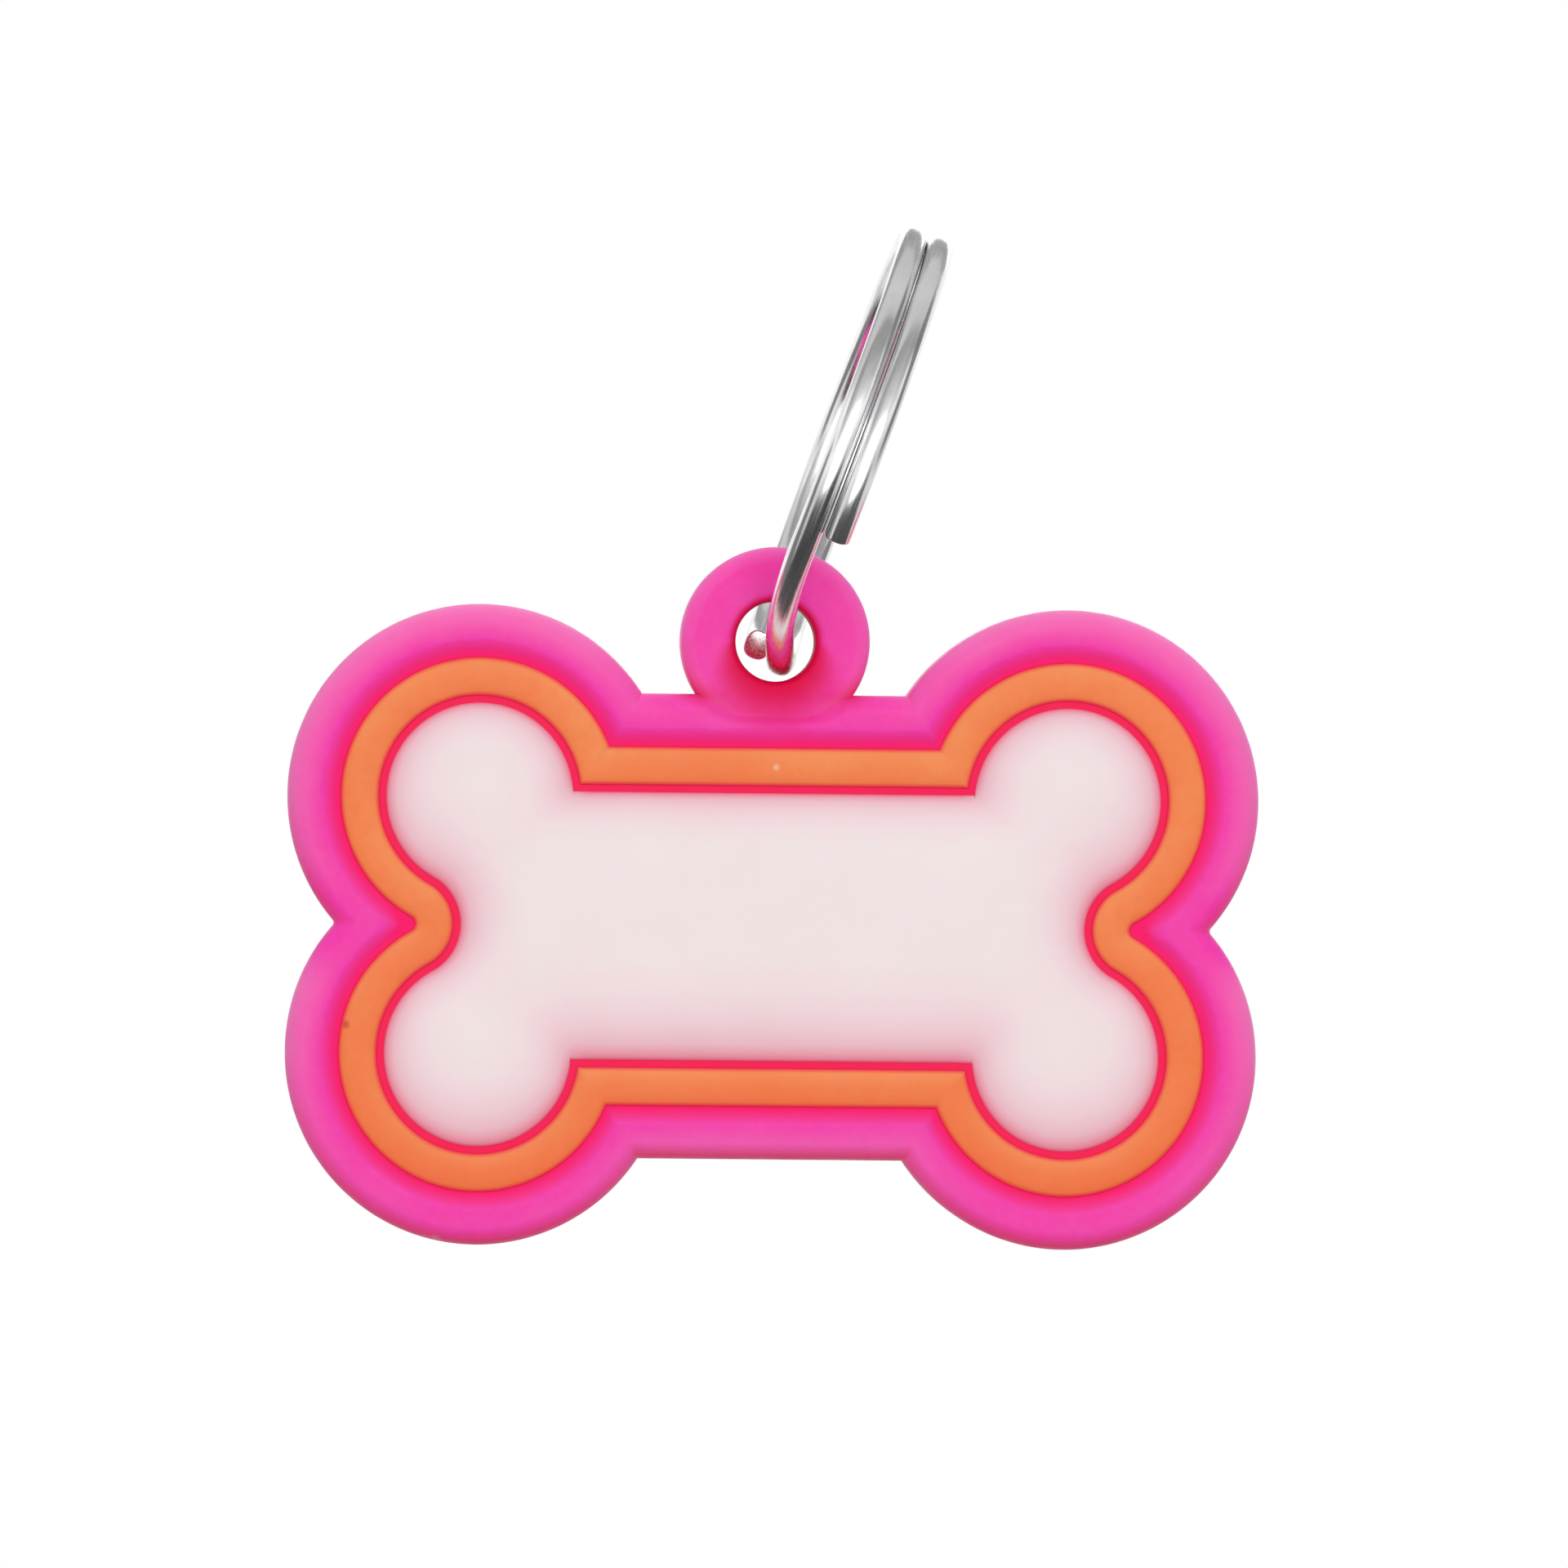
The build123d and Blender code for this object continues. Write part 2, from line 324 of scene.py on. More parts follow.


# where the pink's painted light changes: sink from crest to recess floor for the groove's painted red shade,
# a painted sheen towards the outer edge, painted shade on it where it faces down, and painted red shade round
# the hole, wider below it, and in the valleys beside the eyelet
def markPinkBody(piece):
    s, t = bodyShape, paintedLightPlaces
    x, y, z = meshPoints(piece).T
    x, z = x - boneX, z - boneZ
    radius, rise = outlineRadius(x, z), z - s["eyeletRise"]
    fromHole = np.hypot(x, rise)
    upward = rise / np.maximum(fromHole, t["leastReach"])
    inBone, inEyelet = s["rimOuter"] - radius, s["eyeletRadius"] - fromHole
    onEyelet, inwards = inEyelet > inBone, np.maximum(inBone, inEyelet)
    facing = np.where(onEyelet, upward, facingUp(x, z))
    # sink: the groove's painted red shade, from crest to recess floor, reaching further out at the waist
    waist = t["sinkWaist"]
    nearWaist = np.exp(-(((np.abs(x) - waist["place"]) / waist["spread"]) ** 2) - (z / waist["spread"]) ** 2)
    sink = (y < 0) * (1 - easeStep(t["sinkFull"], t["sinkNone"], radius - waist["drop"] * nearWaist))
    # painted sheen towards the outer edge, its share by how the edge faces
    lobeShare = np.interp(facing, *t["sheenLobe"]) * easeStep(*t["sheenWaist"], np.abs(z))
    barShare = np.interp(facing, *t["sheenBar"])
    sheenShare = barShare + (lobeShare - barShare) * easeStep(t["sheenPart"], t["sheenFull"], np.abs(x))
    sheenShare = np.where(onEyelet, t["sheenEyelet"], sheenShare)
    sheenReach = np.where(onEyelet, t["sheenReachEyelet"], t["sheenReach"])
    # painted red shade round the hole, reaching further below it, and in the valleys beside the eyelet
    redShadeReach = t["redShadeReach"] + t["redShadeBelow"] * np.clip(-upward, 0, 1)
    redShade = 1 - easeStep(0, 1, (fromHole - s["holeRadius"]) / redShadeReach)
    valley = np.abs(radius - s["rimOuter"]) + np.abs(fromHole - s["eyeletRadius"])
    redShade = np.clip(redShade + t["valleyShare"] * (1 - easeStep(0, t["valleyReach"], valley)), 0, 1)
    addAttribute(piece, "sink", sink)
    addAttribute(piece, "outer", easeStep(t["grooveInner"], t["grooveOuter"], radius))
    addAttribute(piece, "edgeSheen", np.clip(1 - inwards / sheenReach, 0, 1) * sheenShare)
    # painted shade on the outer edge where it faces down
    addAttribute(piece, "deep", (1 - easeStep(0, t["edgeShadeReach"], inwards)) * np.clip(-facing, 0, 1))
    addAttribute(piece, "redShade", redShade)
    addAttribute(piece, "matt", np.maximum(sink, redShade))


# bone and eyelet joined to one skin
def makePinkBody():
    bone, eyelet = makeBone(), makeEyelet()
    join = bone.modifiers.new("eyelet", "BOOLEAN")
    join.operation, join.solver, join.object = "UNION", "EXACT", eyelet
    joined = bone.evaluated_get(bpy.context.evaluated_depsgraph_get())
    mesh = bpy.data.meshes.new_from_object(joined)
    piece = bpy.data.objects.new("pinkBody", mesh)
    bpy.context.scene.collection.objects.link(piece)
    bpy.data.objects.remove(bone)
    bpy.data.objects.remove(eyelet)
    smoothTo(piece, bodyShape["crease"])
    markPinkBody(piece)
    return piece


bandShape = {
    "inner": 4.24,
    "outer": 5.94,
    "base": 1.19,
    "height": 0.27,
    "squareness": 3.0,
    "crownPoints": 34,
    "crease": 38,
}


# half a superellipse across the band, carried along the outlines, closed by a flat underside
def makeOrangeBand():
    s = bandShape
    angle = np.linspace(pi, 0, s["crownPoints"])
    bend = 2 / s["squareness"]
    across = np.sign(np.cos(angle)) * np.abs(np.cos(angle)) ** bend
    radius = (s["inner"] + s["outer"]) / 2 + across * (s["outer"] - s["inner"]) / 2
    level = s["base"] + s["height"] * np.abs(np.sin(angle)) ** bend
    flat = boneOutline(radius)
    piece = gridPiece("orangeBand", tagPoints(flat, level[:, None]), ringRows=True)
    smoothTo(piece, s["crease"])
    x, y, z = meshPoints(piece).T
    x, z = x - boneX, z - boneZ
    across = (outlineRadius(x, z) - s["inner"]) / (s["outer"] - s["inner"])
    addAttribute(piece, "across", across)
    # which side of the band is up the tag, for the painted shade and highlight on its slopes
    addAttribute(piece, "upper", 0.5 + (across - 0.5) * facingUp(x, z))
    return piece


panelShape = {
    "radius": 3.98,
    "floor": 1.19,
    "edge": 1.37,
    "crown": 0.32,
    "reach": 3.6,
    "swell": 2.0,
    "edgeRound": 0.14,
    "valleyBlend": 3.2,
    "valleyStart": 1.6,
    "milkBlend": 0.9,
    "milkShadeShare": 0.74,
    "discShare": 0.7,
    "discMost": 2.6,
    "discTurns": 12,
    "discRings": (0.5, 1),
    "rows": 46,
    "underRows": 6,
    "topFrom": 0.05,
    "crease": 50,
}


# height over the edge: rises by the crown over reach as one less a power, and drops round at the very edge
def panelLevel(depth):
    s = panelShape
    rise = s["crown"] * (1 - (1 - np.clip(depth / s["reach"], 0, 1)) ** s["swell"])
    short = np.clip(s["edgeRound"] - depth, 0, s["edgeRound"])
    return s["edge"] + rise - (s["edgeRound"] - np.sqrt(s["edgeRound"] ** 2 - short**2))


# depth in from the outline, with the valleys between bar and lobes rounded out the deeper they lie
def panelDepth(x, z):
    s = panelShape
    plain = s["radius"] - outlineRadius(x, z)
    blend = np.clip(s["valleyBlend"] * plain / s["valleyStart"], 1e-6, s["valleyBlend"])
    return np.maximum(s["radius"] - outlineRadius(x, z, blend), 0)


# the mean of a measure over a disc round each point, whose size grows with the depth in from the outline
def overDisc(measure, x, z):
    s = panelShape
    reach = s["discShare"] * np.minimum(np.maximum(s["radius"] - outlineRadius(x, z), 0), s["discMost"])
    total, turns = measure(x, z), np.linspace(0, 2 * pi, s["discTurns"], endpoint=False)
    for share in s["discRings"]:
        for turn in turns:
            total = total + measure(x + share * reach * np.cos(turn), z + share * reach * np.sin(turn))
    return total / (1 + len(s["discRings"]) * len(turns))


# how deep the white lies under the surface's tint: the depth in from the outline, times a share that is full
# where the edge faces up and least where it faces down, the lesser share being painted shade and reflected
# pink
def milkShadeDepth(x, z):
    s = panelShape
    depth = np.maximum(s["radius"] - outlineRadius(x, z, s["milkBlend"]), 0)
    share = s["milkShadeShare"] + (1 - s["milkShadeShare"]) * facingUp(x, z, s["milkBlend"])
    return depth * share / s["radius"]


# the level is a function of the depth in from the outline, on rows that run from the edge to the spine
def makeWhitePanel():
    s = panelShape
    shares = np.linspace(0, 1, s["rows"]) ** 2
    top = fillRows(s["radius"], shares)
    under = fillRows(s["radius"], np.linspace(1, 0, s["underRows"]))
    level = overDisc(lambda x, z: panelLevel(panelDepth(x, z)), top[..., 0], top[..., 1])
    points = np.concatenate([tagPoints(under, s["floor"]), tagPoints(top, level)])
    piece = gridPiece("whitePanel", points)
    smoothTo(piece, s["crease"])
    x, y, z = meshPoints(piece).T
    onTop = -y > s["floor"] + s["topFrom"]
    # pink where the white is thin, widened by painted shade where the edge faces down
    addAttribute(piece, "milkAndShade", overDisc(milkShadeDepth, x - boneX, z - boneZ) * onTop)
    return piece


ringShape = {
    "hangRadius": 8.7,
    "wireRadius": 9.35,
    "wireWidth": 1.14,
    "wireDepth": 1.294,
    "squareness": 2.5,
    "laneOffset": 0.59,
    "tilt": 20.0,
    "crossing": 23.0,
    "crossingHalf": 38.0,
    "frontLap": 4.0,  # degrees that each wire end runs on beside the crossing
    "rearLap": -1.0,
    "endRound": 0.09,
    "endRows": 6,
    "columns": 44,
    "rows": 760,
    "crease": 40,
}


# the section is a superellipse. Its middle goes round the ring at one radius, beside the middle plane by the
# lane offset, and crosses over on two parabolas that meet halfway
def makeSplitRing():
    s = ringShape
    leave, reach = s["crossing"] + s["crossingHalf"], s["crossing"] - s["crossingHalf"]
    degrees = np.linspace(reach - s["rearLap"] + 360, leave + s["frontLap"] - 360, s["rows"])
    q = np.clip((s["crossing"] - degrees) / s["crossingHalf"], -1, 1)
    axial = s["laneOffset"] * np.sign(q) * (1 - (1 - np.abs(q)) ** 2)
    bulge = (sqrt(s["wireRadius"] ** 2 + s["laneOffset"] ** 2) - s["wireRadius"]) * (1 - q**2)
    radius = s["wireRadius"] + bulge
    angle = np.radians(degrees)
    middle = np.stack([axial, -radius * np.sin(angle), -radius * np.cos(angle)], axis=1)
    length = np.concatenate([[0], np.cumsum(np.linalg.norm(np.diff(middle, axis=0), axis=1))])
    tangent = np.gradient(middle, length, axis=0)
    tangent /= np.linalg.norm(tangent, axis=1, keepdims=True)
    beside = np.array([1.0, 0, 0]) - tangent[:, :1] * tangent
    beside /= np.linalg.norm(beside, axis=1, keepdims=True)
    outward = np.cross(beside, tangent)
    outward *= np.sign(np.sum(outward * (middle * [0, 1, 1]), axis=1, keepdims=True))
    turn = np.linspace(0, 2 * pi, s["columns"], endpoint=False)
    bend = 2 / s["squareness"]
    wide = np.sign(np.cos(turn)) * np.abs(np.cos(turn)) ** bend * s["wireWidth"] / 2
    deep = np.sign(np.sin(turn)) * np.abs(np.sin(turn)) ** bend * s["wireDepth"] / 2
    # each blunt end draws in over the end round and closes on its middle
    fade = s["endRound"]
    endAngle = np.radians(np.linspace(0, 90, s["endRows"]))
    shrink = 1 - fade * (1 - np.cos(endAngle)) / (s["wireWidth"] / 2)
    scale = np.concatenate([[0], shrink[::-1], np.ones(s["rows"] - 2), shrink, [0]])
    out = fade * np.sin(endAngle)
    first = middle[0] - np.concatenate([[fade], out[::-1]])[:, None] * tangent[0] + fade * tangent[0]
    last = middle[-1] + np.concatenate([out, [fade]])[:, None] * tangent[-1] - fade * tangent[-1]
    atEnd = np.zeros(len(first), int)
    keep = np.concatenate([atEnd, np.arange(1, s["rows"] - 1), atEnd + s["rows"] - 1])
    path = np.concatenate([first, middle[1:-1], last])
    section = wide[:, None] * beside[keep][:, None] + deep[:, None] * outward[keep][:, None]
    points = path[:, None] + scale[:, None, None] * section + [0, 0, -s["hangRadius"]]
    lean = radians(s["tilt"])
    turned = np.array([[cos(lean), 0, sin(lean)], [0, 1, 0], [-sin(lean), 0, cos(lean)]])
    piece = gridPiece("splitRing", points @ turned.T * mm)
    smoothTo(piece, s["crease"])
    # along the wire and round its section, for the drawn grain
    x, y, z = ((meshPoints(piece) @ turned) + [0, 0, s["hangRadius"]]).T
    addAttribute(piece, "round", np.degrees(np.arctan2(-y, -z)))
    addAttribute(piece, "beside", x)
    addAttribute(piece, "outward", np.hypot(y, z) - s["wireRadius"])
    return piece


def newMaterial(name):
    material = bpy.data.materials.new(name)
    material.use_nodes = True
    tree = material.node_tree
    return material, tree.nodes, tree.links, tree.nodes["Principled BSDF"]


def addNoise(nodes, links, scale, detail, vector):
    noise = nodes.new("ShaderNodeTexNoise")
    noise.inputs["Scale"].default_value = scale
    noise.inputs["Detail"].default_value = detail
    links.new(vector, noise.inputs["Vector"])
    return noise.outputs["Fac"]


def addRamp(nodes, links, factor, stops):
    ramp = nodes.new("ShaderNodeValToRGB")
    elements = ramp.color_ramp.elements
    for place, colour in stops[2:]:
        elements.new(place)
    for element, (place, colour) in zip(elements, sorted(stops)):
        element.position, element.color = place, colour
    links.new(factor, ramp.inputs["Fac"])
    return ramp.outputs["Color"]


def addRange(nodes, links, factor, low, high, fromLow=0.3, fromHigh=0.7):
    ranged = nodes.new("ShaderNodeMapRange")
    for key, value in zip(("From Min", "From Max", "To Min", "To Max"), (fromLow, fromHigh, low, high)):
        ranged.inputs[key].default_value = value
    links.new(factor, ranged.inputs["Value"])
    return ranged.outputs["Result"]


def addMix(nodes, links, factor, first, second, blend="MIX"):
    mix = nodes.new("ShaderNodeMix")
    mix.data_type, mix.blend_type = "RGBA", blend
    sockets = [mix.inputs[0], mix.inputs[6], mix.inputs[7]]
    for socket, value in zip(sockets, (factor, first, second)):
        if isinstance(value, bpy.types.NodeSocket):
            links.new(value, socket)
        else:
            socket.default_value = value
    return mix.outputs[2]


def addBump(nodes, links, height, strength, distance, shader):
    bump = nodes.new("ShaderNodeBump")
    bump.inputs["Strength"].default_value = strength
    bump.inputs["Distance"].default_value = distance
    links.new(height, bump.inputs["Height"])
    links.new(bump.outputs["Normal"], shader.inputs["Normal"])


def readAttribute(nodes, name):
    attribute = nodes.new("ShaderNodeAttribute")
    attribute.attribute_name = name
    return attribute.outputs["Fac"]


def readObject(nodes):
    return nodes.new("ShaderNodeTexCoord").outputs["Object"]


# soft blotches of a second colour
def addCloud(nodes, links, where, colour, look):
    cloud = addNoise(nodes, links, look["scale"], look["detail"], where)
    amount = addRange(nodes, links, cloud, 0, look["most"], look["from"], look["full"])
    return addMix(nodes, links, amount, colour, look["tint"])


marksLook = {"most": 0.85, "core": 0.35}  # how far a mark covers, and the share of its size that is solid


# small stains and nicks: each fades in over its size, measured from its place on the bone
def addMarks(nodes, links, where, colour, marks):
    for (x, y, z), size, tint in marks:
        apart = nodes.new("ShaderNodeVectorMath")
        apart.operation = "DISTANCE"
        links.new(where, apart.inputs[0])
        apart.inputs[1].default_value = ((x + boneX) * mm, y * mm, (z + boneZ) * mm)
        core = size * marksLook["core"] * mm
        near = addRange(nodes, links, apart.outputs["Value"], marksLook["most"], 0, core, size * mm)
        colour = addMix(nodes, links, near, colour, tint)
    return colour


softFinish = {
    "roughLow": 0.34,
    "roughHigh": 0.5,
    "roughScale": 900,
    "roughDetail": 3,
    "specular": 0.2,
    "grainScale": 5200,
    "grainDetail": 2,
    "bump": 0.22,
    "bumpDistance": 0.00001,
}


# satin soft plastic: mottled colour, fine moulded grain and a slightly uneven gloss
def finishSoft(nodes, links, shader, where, colour, finish):
    s = softFinish
    links.new(colour, shader.inputs["Base Color"])
    rough = addNoise(nodes, links, s["roughScale"], s["roughDetail"], where)
    links.new(addRange(nodes, links, rough, s["roughLow"], s["roughHigh"]), shader.inputs["Roughness"])
    shader.inputs["Specular IOR Level"].default_value = s["specular"]
    shader.inputs["Subsurface Radius"].default_value = finish["scatter"]
    shader.inputs["Subsurface Scale"].default_value = finish["scatterScale"]
    shader.inputs["Subsurface Weight"].default_value = finish["scatterWeight"]
    grain = addNoise(nodes, links, s["grainScale"], s["grainDetail"], where)
    addBump(nodes, links, grain, s["bump"], s["bumpDistance"], shader)


# tints are an attribute, the most it covers and its colour
pinkFinish = {
    "skin": [(0.3, srgb(247, 52, 173)), (0.7, srgb(249, 62, 180))],
    "mottleScale": 2600,
    "mottleDetail": 5,
    "cloud": {"scale": 190, "detail": 2, "from": 0.42, "full": 0.68, "most": 0.3, "tint": srgb(248, 84, 182)},
    # the tints are painted light: a paler sheen on the outer edge, shade where that edge faces down, and red
    # shade round the hole and beside the eyelet
    "tints": [
        ("edgeSheen", 1, srgb(244, 126, 190)),
        ("deep", 0.85, srgb(247, 74, 116)),
        ("redShade", 1, srgb(226, 4, 66)),
    ],
    # the lip's redder pink and the groove's red are painted shade in the recess, where the pink walls light
    # each other
    "lip": srgb(254, 62, 168),
    "lipFull": 0.2,
    "groove": [(0.2, srgb(244, 34, 86)), (0.8, srgb(249, 24, 106))],
    "marks": [
        ((-14.2, -1.08, -13.34), 0.3, srgb(238, 130, 165)),
        ((-14.6, -1.0, -13.27), 0.22, srgb(236, 120, 158)),
    ],
    "mattSpecular": 0.06,
    "scatter": (1, 0.25, 0.45),
    "scatterScale": 0.0014,
    "scatterWeight": 0.8,
}


# mottled pink with painted sheen and shade over it, then the lip's and the groove's painted red shade by how
# far the surface is sunk
def makePinkMaterial():
    s = pinkFinish
    material, nodes, links, shader = newMaterial("pinkSoftPvc")
    where = readObject(nodes)
    mottle = addNoise(nodes, links, s["mottleScale"], s["mottleDetail"], where)
    colour = addRamp(nodes, links, mottle, s["skin"])
    colour = addCloud(nodes, links, where, colour, s["cloud"])
    for name, most, tint in s["tints"]:
        amount = addRange(nodes, links, readAttribute(nodes, name), 0, most, 0, 1)
        colour = addMix(nodes, links, amount, colour, tint)
    sink = readAttribute(nodes, "sink")
    colour = addMix(nodes, links, addRange(nodes, links, sink, 0, 1, 0, s["lipFull"]), colour, s["lip"])
    groove = addRamp(nodes, links, readAttribute(nodes, "outer"), s["groove"])
    colour = addMix(nodes, links, sink, colour, groove)
    colour = addMarks(nodes, links, where, colour, s["marks"])
    finishSoft(nodes, links, shader, where, colour, s)
    # places with the groove's and the hole's painted red shade have little gloss and no scatter, so that they
    # stay red
    matt = readAttribute(nodes, "matt")
    links.new(addRange(nodes, links, matt, s["scatterWeight"], 0, 0, 1), shader.inputs["Subsurface Weight"])
    gloss = addRange(nodes, links, matt, softFinish["specular"], s["mattSpecular"], 0, 1)
    links.new(gloss, shader.inputs["Specular IOR Level"])
    return material


orangeFinish = {
    "skin": [(0.3, srgb(249, 133, 73)), (0.7, srgb(251, 141, 79))],
    "mottleScale": 2400,
    "mottleDetail": 5,
    # the low colour is painted shade, the light colour a painted highlight
    "low": srgb(247, 107, 55),
    "light": srgb(252, 155, 95),
    "shadeFrom": 7,
    "shadeTo": -10,
    "shadeMost": 0.5,
    "shadeSlope": {"low": 0.35, "high": 0, "fromLow": 0.1, "fromHigh": 0.5},
    "highlightSlope": {"low": 0, "high": 0.6, "fromLow": 0.5, "fromHigh": 0.9},
    "cloud": {"scale": 170, "detail": 2, "from": 0.42, "full": 0.68, "most": 0.4, "tint": srgb(248, 111, 62)},
    # painted red shade at both edges of the band, where it meets the groove
    "edge": srgb(250, 30, 80),
    "edgeShadeStops": [(0.02, white), (0.13, black), (0.87, black), (0.98, white)],
    "marks": [
        ((-18.1, -1.42, -4.3), 0.24, srgb(206, 78, 58)),
        ((0.07, -1.53, 6.8), 0.2, srgb(246, 190, 150)),
    ],
    "scatter": (1, 0.45, 0.25),
    "scatterScale": 0.0005,
    "scatterWeight": 0.3,
}


# mottled orange with painted shade, redder low on the tag and on slopes that face down, a painted highlight
# on those that face up, and painted red shade at both edges
def makeOrangeMaterial():
    s = orangeFinish
    material, nodes, links, shader = newMaterial("orangeSoftPvc")
    where = readObject(nodes)
    mottle = addNoise(nodes, links, s["mottleScale"], s["mottleDetail"], where)
    colour = addRamp(nodes, links, mottle, s["skin"])
    height = nodes.new("ShaderNodeSeparateXYZ")
    links.new(where, height.inputs[0])
    # painted shade that grows towards the bottom of the tag
    shadeFrom, shadeTo = (boneZ + s["shadeFrom"]) * mm, (boneZ + s["shadeTo"]) * mm
    drop = addRange(nodes, links, height.outputs["Z"], 0, s["shadeMost"], shadeFrom, shadeTo)
    colour = addMix(nodes, links, drop, colour, s["low"])
    # painted shade on slopes that face down and a painted highlight on those that face up
    upper = readAttribute(nodes, "upper")
    colour = addMix(nodes, links, addRange(nodes, links, upper, **s["shadeSlope"]), colour, s["low"])
    colour = addMix(nodes, links, addRange(nodes, links, upper, **s["highlightSlope"]), colour, s["light"])
    colour = addCloud(nodes, links, where, colour, s["cloud"])
    # painted red shade at both edges
    rimShade = addRamp(nodes, links, readAttribute(nodes, "across"), s["edgeShadeStops"])
    colour = addMix(nodes, links, rimShade, colour, s["edge"])
    colour = addMarks(nodes, links, where, colour, s["marks"])
    finishSoft(nodes, links, shader, where, colour, s)
    return material


whiteFinish = {
    "stops": [
        (0.0, srgb(247, 118, 146)),
        (0.032, srgb(247, 156, 174)),
        (0.085, srgb(247, 192, 203)),
        (0.17, srgb(248, 209, 216)),
        (0.26, srgb(248, 218, 223)),
        (0.37, srgb(248, 225, 227)),
        (0.55, srgb(247, 230, 230)),
    ],
    "cloudScale": 260,
    "cloudDetail": 3,
    "cloudStops": [(0.3, (0.985, 0.975, 0.975, 1)), (0.7, white)],
    "scatter": (1, 0.6, 0.6),
    "scatterScale": 0.0008,
    "scatterWeight": 0.3,
}


# milky white that turns pink where it is shallow, further in where the edge faces down as painted shade and
# reflected pink, with a faint cloud
def makeWhiteMaterial():
    s = whiteFinish
    material, nodes, links, shader = newMaterial("whiteSoftPvc")
    where = readObject(nodes)
    milkAndShade = addRamp(nodes, links, readAttribute(nodes, "milkAndShade"), s["stops"])
    cloud = addNoise(nodes, links, s["cloudScale"], s["cloudDetail"], where)
    tone = addRamp(nodes, links, cloud, s["cloudStops"])
    colour = addMix(nodes, links, 1.0, milkAndShade, tone, "MULTIPLY")
    finishSoft(nodes, links, shader, where, colour, s)
    return material


steelFinish = {
    "smearStops": [(0.35, (0.8, 0.8, 0.81, 1)), (0.6, (0.92, 0.92, 0.93, 1))],
    "smearScale": 420,
    "smearDetail": 3,
    "hairStretch": [("round", "X", 0.02), ("beside", "Y", 5.0), ("outward", "Z", 5.0)],
    "hairScale": 2.4,
    "hairDetail": 4,
    "roughLow": 0.15,
    "roughHigh": 0.3,
    "bump": 0.12,
    "bumpDistance": 0.00002,
}


# nickel plate on drawn wire: hairlines that run along the wire, with duller smears
def makeSteelMaterial():
    s = steelFinish
    material, nodes, links, shader = newMaterial("platedSteel")
    where = readObject(nodes)
    hairSpace = nodes.new("ShaderNodeCombineXYZ")
    for name, socket, share in s["hairStretch"]:
        scaled = nodes.new("ShaderNodeMath")
        scaled.operation = "MULTIPLY"
        links.new(readAttribute(nodes, name), scaled.inputs[0])
        scaled.inputs[1].default_value = share
        links.new(scaled.outputs[0], hairSpace.inputs[socket])
    hair = addNoise(nodes, links, s["hairScale"], s["hairDetail"], hairSpace.outputs["Vector"])
    smear = addNoise(nodes, links, s["smearScale"], s["smearDetail"], where)
    colour = addRamp(nodes, links, smear, s["smearStops"])
    links.new(colour, shader.inputs["Base Color"])
    shader.inputs["Metallic"].default_value = 1
    links.new(addRange(nodes, links, hair, s["roughLow"], s["roughHigh"]), shader.inputs["Roughness"])
    addBump(nodes, links, hair, s["bump"], s["bumpDistance"], shader)
    return material


pieces = [
    (makePinkBody, makePinkMaterial, "tag", "tag_body", "pink_soft_pvc"),
    (makeOrangeBand, makeOrangeMaterial, "tag", "orange_band", "orange_soft_pvc"),
    (makeWhitePanel, makeWhiteMaterial, "tag", "white_panel", "white_soft_pvc"),
    (makeSplitRing, makeSteelMaterial, "ring", "split_ring", "plated_steel"),
]
for makePiece, makeMaterial, body, node, slotName in pieces:
    piece = makePiece()
    piece.data.materials.clear()
    piece.data.materials.append(makeMaterial())
    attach(piece, body)
    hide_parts(node)
    print(piece.name, "has", len(piece.data.polygons), "faces")


stageLook = {
    "floorDrop": 0.25,
    "size": 6.0,
    "floorGrey": 0.93,
    "toothScale": 60,
    "toothDetail": 2,
    "toothShare": 0.98,
    "roughness": 0.9,
    "specular": 0.1,
    "skyLow": 0.36,
    "skyHigh": 0.86,
    "ringAside": 3,
    "ringAbove": 20,
}


def stagePlane(name, corners, material):
    mesh = bpy.data.meshes.new(name)
    mesh.from_pydata([tuple(c) for c in corners], [], [(0, 1, 2, 3)])
    mesh.materials.append(material)
    plane = bpy.data.objects.new(name, mesh)
    bpy.context.scene.collection.objects.link(plane)
    return plane


# matt card of one grey with a faint paper tooth, or one that glows with that grey though it is no lamp
def makeCardMaterial(name, grey, lit=False):
    s = stageLook
    material, nodes, links, shader = newMaterial(name)
    tooth = addNoise(nodes, links, s["toothScale"], s["toothDetail"], readObject(nodes))
    dark, plain = (grey * s["toothShare"],) * 3 + (1,), (grey,) * 3 + (1,)
    tone = addRamp(nodes, links, tooth, [(0.3, dark), (0.7, plain)])
    links.new(tone, shader.inputs["Emission Color" if lit else "Base Color"])
    if lit:
        shader.inputs["Base Color"].default_value = black
        shader.inputs["Emission Strength"].default_value = 1
    shader.inputs["Roughness"].default_value = s["roughness"]
    shader.inputs["Specular IOR Level"].default_value = s["specular"]
    return material


half = stageLook["size"] / 2
floorZ = cadLow.z - stageLook["floorDrop"]
floorCorners = [(-half, -half, floorZ), (half, -half, floorZ), (half, half, floorZ), (-half, half, floorZ)]
floor = stagePlane("floor", floorCorners, makeCardMaterial("paleFloor", stageLook["floorGrey"]))
floor.visible_diffuse = False  # undersides stay as dark as the low sky leaves them

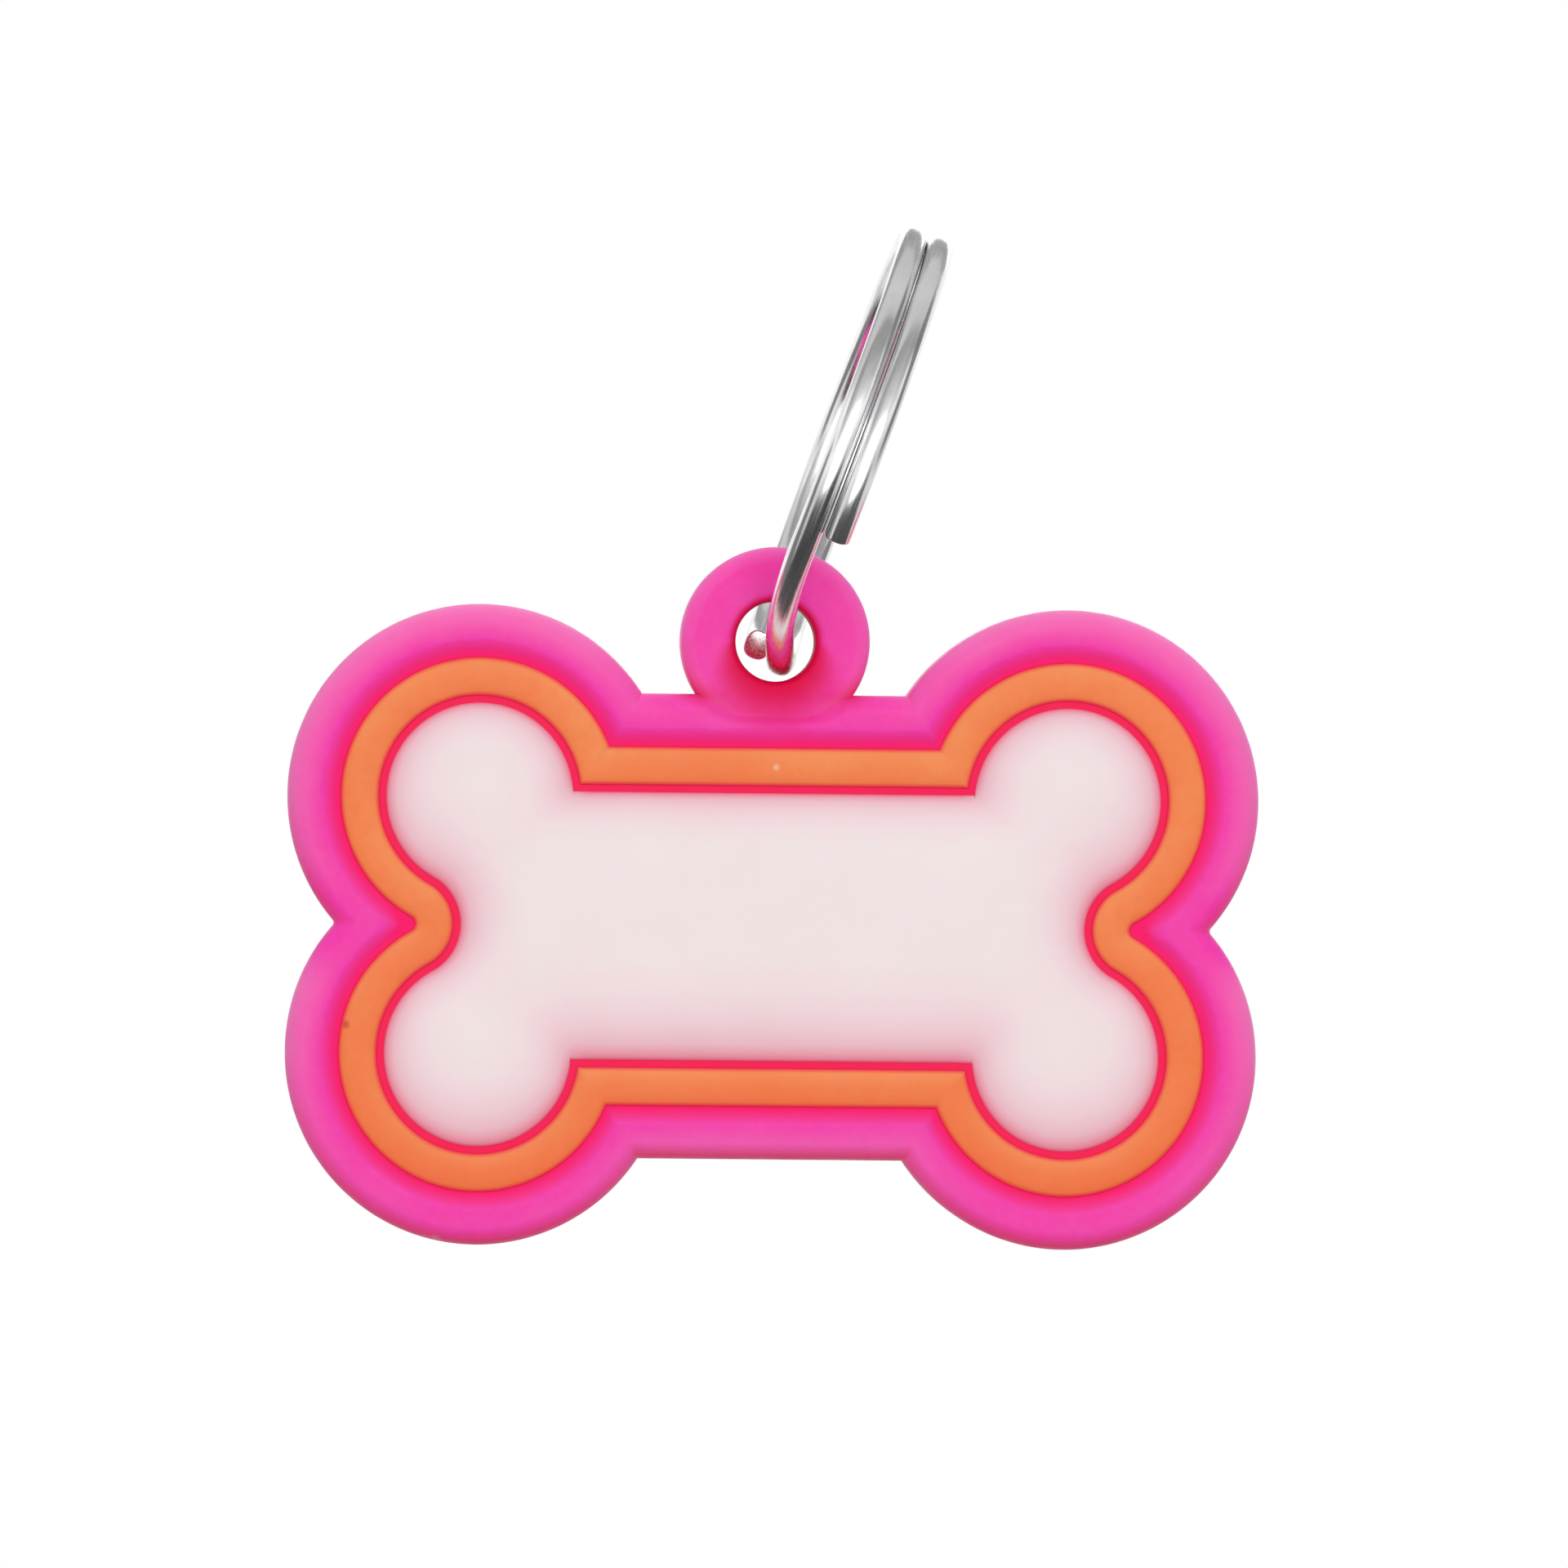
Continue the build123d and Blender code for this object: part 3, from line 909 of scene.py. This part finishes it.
# grey cards that glow though they are no lamps and that only reflections see, standing in for the flags round
# bright metal in a studio. Azimuth 0 is in front and 90 to the right, and each card faces the ring
cardLook = {
    "browEdge": {"azimuth": 0, "elevation": 21, "away": 0.3, "wide": 0.7, "tall": 0.074, "grey": 0.62},
    "browLow": {"azimuth": 0, "elevation": 35, "away": 0.3, "wide": 0.7, "tall": 0.074, "grey": 0.44},
    "browMiddle": {"azimuth": 0, "elevation": 49, "away": 0.3, "wide": 0.7, "tall": 0.074, "grey": 0.34},
    "browHigh": {"azimuth": 0, "elevation": 62, "away": 0.3, "wide": 0.7, "tall": 0.064, "grey": 0.3},
    "roof": {"azimuth": 180, "elevation": 70, "away": 0.3, "wide": 0.9, "tall": 0.54, "grey": 0.62},
    "rear": {"azimuth": 180, "elevation": 40, "away": 0.28, "wide": 0.5, "tall": 0.16, "grey": 0.34},
    "low": {"azimuth": 0, "elevation": -50, "away": 0.25, "wide": 0.5, "tall": 0.266, "grey": 0.05},
    "under": {"azimuth": 0, "elevation": -85, "away": 0.2, "wide": 0.5, "tall": 0.2, "grey": 0.06},
    "left": {"azimuth": -90, "elevation": -10, "away": 0.35, "wide": 0.3, "tall": 0.4, "grey": 0.2},
    "right": {"azimuth": 90, "elevation": 10, "away": 0.35, "wide": 0.3, "tall": 0.4, "grey": 0.2},
}
ringMiddle = Vector((boneX + stageLook["ringAside"], 0, boneZ + stageLook["ringAbove"])) * mm


def makeCard(name, look):
    turn, lift = radians(look["azimuth"]), radians(look["elevation"])
    outwards = Vector((sin(turn) * cos(lift), -cos(turn) * cos(lift), sin(lift)))
    beside = Vector((cos(turn), sin(turn), 0)) * (look["wide"] / 2)
    along = outwards.cross(beside).normalized() * (look["tall"] / 2)
    middle = ringMiddle + outwards * look["away"]
    left, right = middle - beside, middle + beside
    corners = [left - along, right - along, right + along, left + along]
    card = stagePlane(name + "Card", corners, makeCardMaterial(name + "Card", look["grey"], lit=True))
    card.visible_camera = card.visible_diffuse = card.visible_shadow = card.visible_transmission = False


for name, look in cardLook.items():
    makeCard(name, look)


# white background for what the camera, metal and clear things see. Matt things are lit by a soft sky that is
# brighter above
def makeWorld():
    world = bpy.data.worlds.new("studio")
    world.use_nodes = True
    nodes, links = world.node_tree.nodes, world.node_tree.links
    sky = nodes["Background"]
    sky.inputs["Color"].default_value = white
    height = nodes.new("ShaderNodeSeparateXYZ")
    links.new(nodes.new("ShaderNodeTexCoord").outputs["Generated"], height.inputs[0])
    lift = addRange(nodes, links, height.outputs["Z"], stageLook["skyLow"], stageLook["skyHigh"], -1, 1)
    links.new(lift, sky.inputs["Strength"])
    backdrop = nodes.new("ShaderNodeBackground")
    backdrop.inputs["Color"].default_value = white
    backdrop.inputs["Strength"].default_value = 1
    path = nodes.new("ShaderNodeLightPath")
    seen = path.outputs["Is Camera Ray"]
    for ray in ("Is Glossy Ray", "Is Transmission Ray"):
        either = nodes.new("ShaderNodeMath")
        either.operation = "MAXIMUM"
        links.new(seen, either.inputs[0])
        links.new(path.outputs[ray], either.inputs[1])
        seen = either.outputs[0]
    mix = nodes.new("ShaderNodeMixShader")
    links.new(seen, mix.inputs["Fac"])
    links.new(sky.outputs[0], mix.inputs[1])
    links.new(backdrop.outputs[0], mix.inputs[2])
    links.new(mix.outputs[0], nodes["World Output"].inputs["Surface"])
    bpy.context.scene.world = world


makeWorld()

lampLook = {
    "key": {"place": (0.02, -0.6, 0.16), "size": 0.35, "power": 1.04},
    "fill": {"place": (0.0, -0.6, -0.22), "size": 0.35, "power": 0.84},
    "back": {"place": (0.1, 0.6, 0.35), "size": 0.5, "power": 1.3},
}
tagMiddle = Vector((boneX, 0, boneZ)) * mm
for name, look in lampLook.items():
    lamp = bpy.data.lights.new(name, "AREA")
    lamp.shape, lamp.size, lamp.energy = "SQUARE", look["size"], look["power"]
    holder = bpy.data.objects.new(name, lamp)
    holder.location = tagMiddle + Vector(look["place"])
    holder.rotation_euler = (tagMiddle - holder.location).to_track_quat("-Z", "Y").to_euler()
    bpy.context.scene.collection.objects.link(holder)

# the camera stands level, a little to the left, and leans so that the tag's right side is lower
cameraLook = {
    "azimuth": -2.3,
    "roll": 0.6,
    "away": 0.5,
    "aimX": 0.423,
    "aimY": -1.0,
    "aimZ": 6.092,
    "frameWidth": 66.65,
    "sensor": 36,
    "clipStart": 0.01,
    "clipEnd": 20,
}


def makeCamera():
    s = cameraLook
    turn, roll = radians(s["azimuth"]), radians(s["roll"])
    aim = tagMiddle + Vector((s["aimX"], s["aimY"], s["aimZ"])) * mm
    back = Vector((sin(turn), -cos(turn), 0))
    right = Vector((cos(turn), sin(turn), 0))
    up = Vector((0, 0, 1))
    leanRight = right * cos(roll) + up * sin(roll)
    leanUp = up * cos(roll) - right * sin(roll)
    data = bpy.data.cameras.new("camera")
    data.sensor_width = s["sensor"]
    data.lens = s["sensor"] * s["away"] / (s["frameWidth"] * mm)
    data.clip_start, data.clip_end = s["clipStart"], s["clipEnd"]
    camera = bpy.data.objects.new("camera", data)
    basis = Matrix((leanRight, leanUp, back)).transposed().to_4x4()
    camera.matrix_world = Matrix.Translation(aim + back * s["away"]) @ basis
    bpy.context.scene.collection.objects.link(camera)
    bpy.context.scene.camera = camera


makeCamera()
bpy.context.scene.view_settings.view_transform = "Standard"
print("stage, lamps and camera set")
